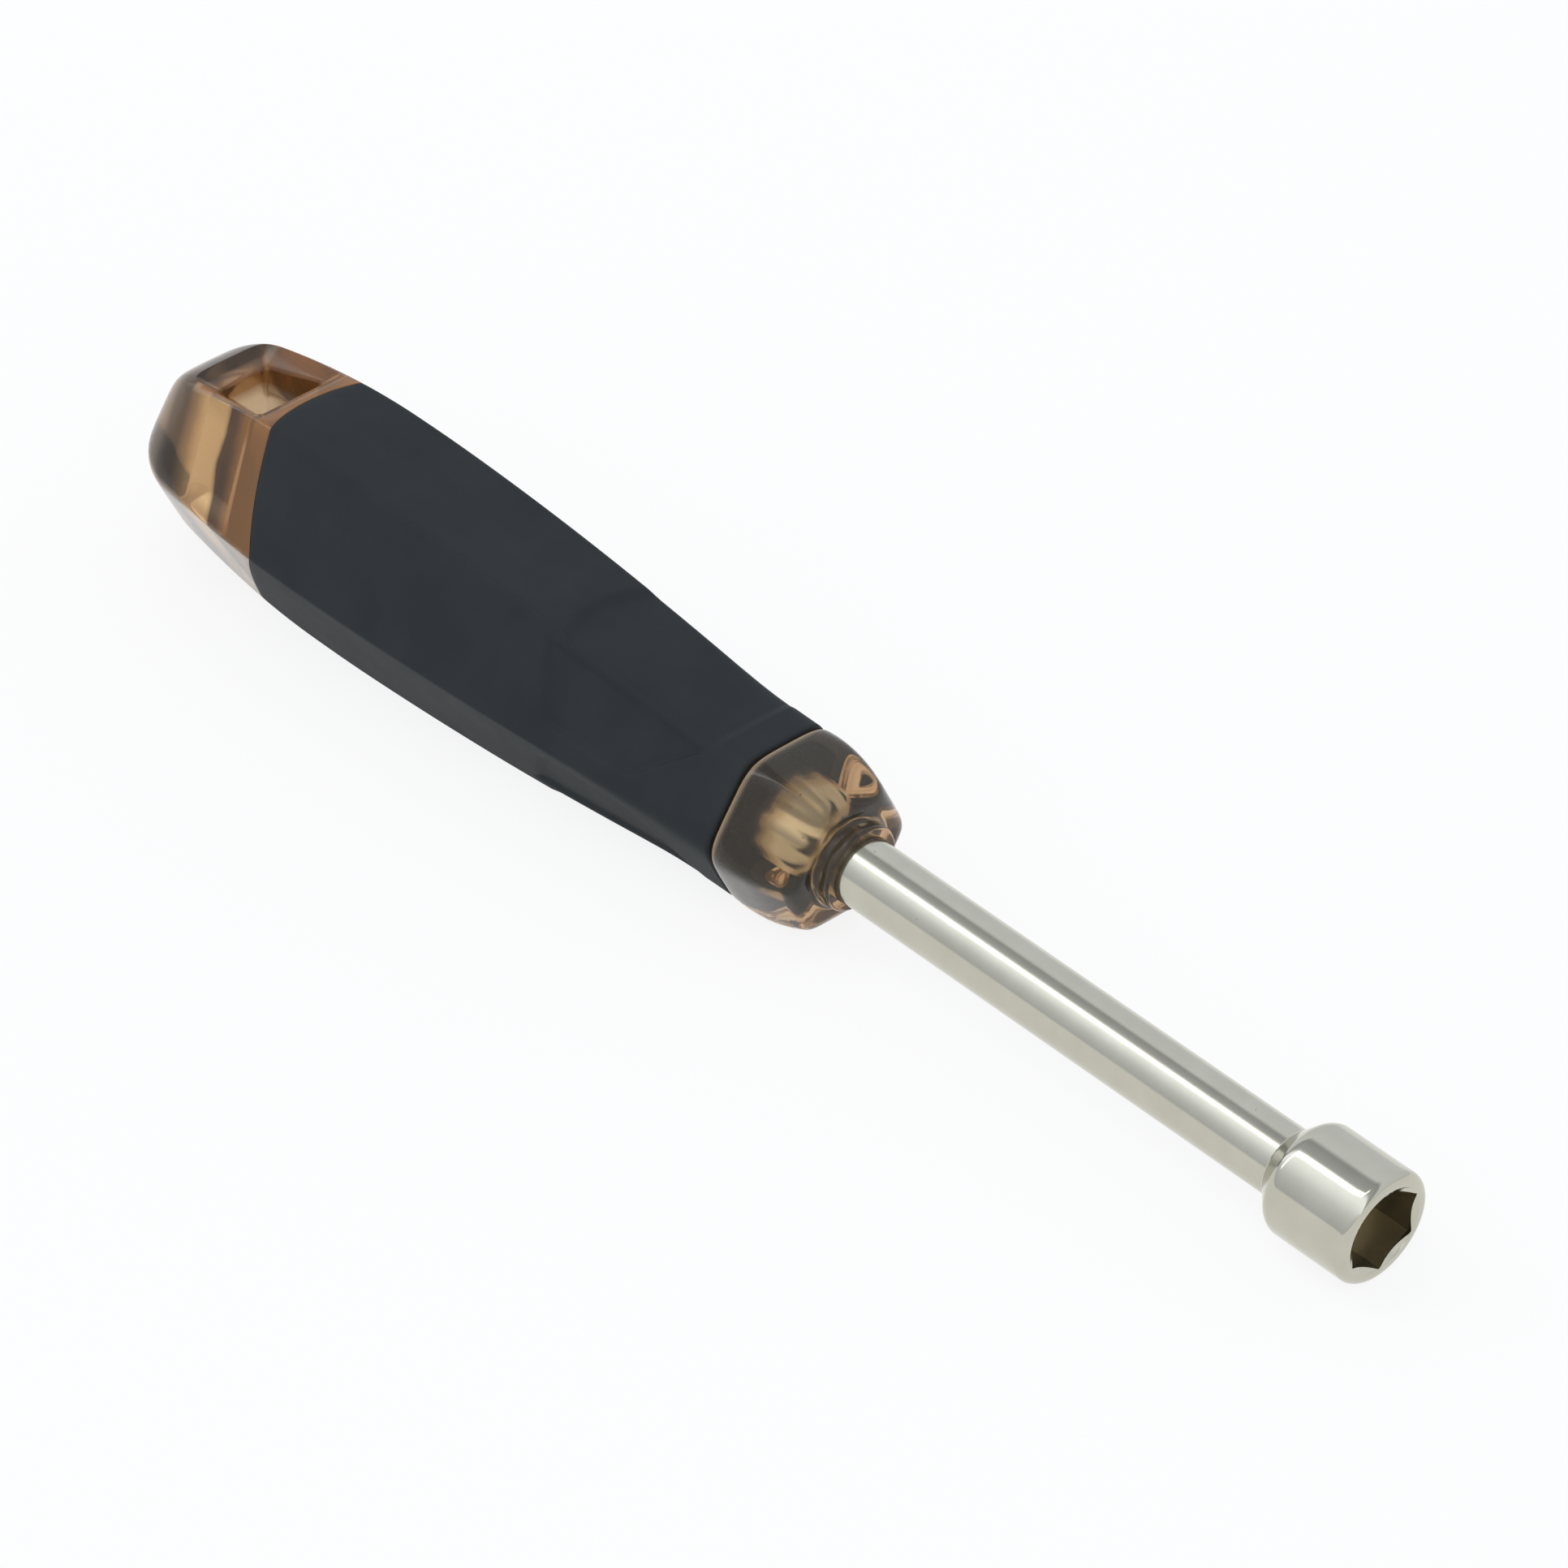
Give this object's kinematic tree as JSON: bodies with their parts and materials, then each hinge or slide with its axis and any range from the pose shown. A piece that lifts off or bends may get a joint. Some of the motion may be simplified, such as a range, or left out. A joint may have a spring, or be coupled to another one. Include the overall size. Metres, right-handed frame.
{
  "type": "nut driver",
  "caption": "Nut driver with a hexagonal socket head on a straight hollow shaft and a faceted, barrel-shaped amber handle with a black cushion grip and a hanging hole.",
  "frame": {"origin": "centre of the socket's mouth, on the tool's axis", "axes": "+X along the tool, out of the socket's mouth; +Z out of the handle flat that the hanging hole goes through; +Y to the left seen from the butt"},
  "size_m": [0.1979, 0.0298, 0.0264],
  "materials": {
    "handle_core": "clear amber cellulose plastic, polished",
    "grip_sleeve": "satin moulded rubber",
    "shaft_tube": "nickel plate, softly polished",
    "socket_head": "nickel plate, polished"
  },
  "bodies": {
    "root": {"handle_core": "handle_core", "grip_sleeve": "grip_sleeve", "shaft_tube": "shaft_tube", "socket_head": "socket_head"}
  },
  "joints": []
}
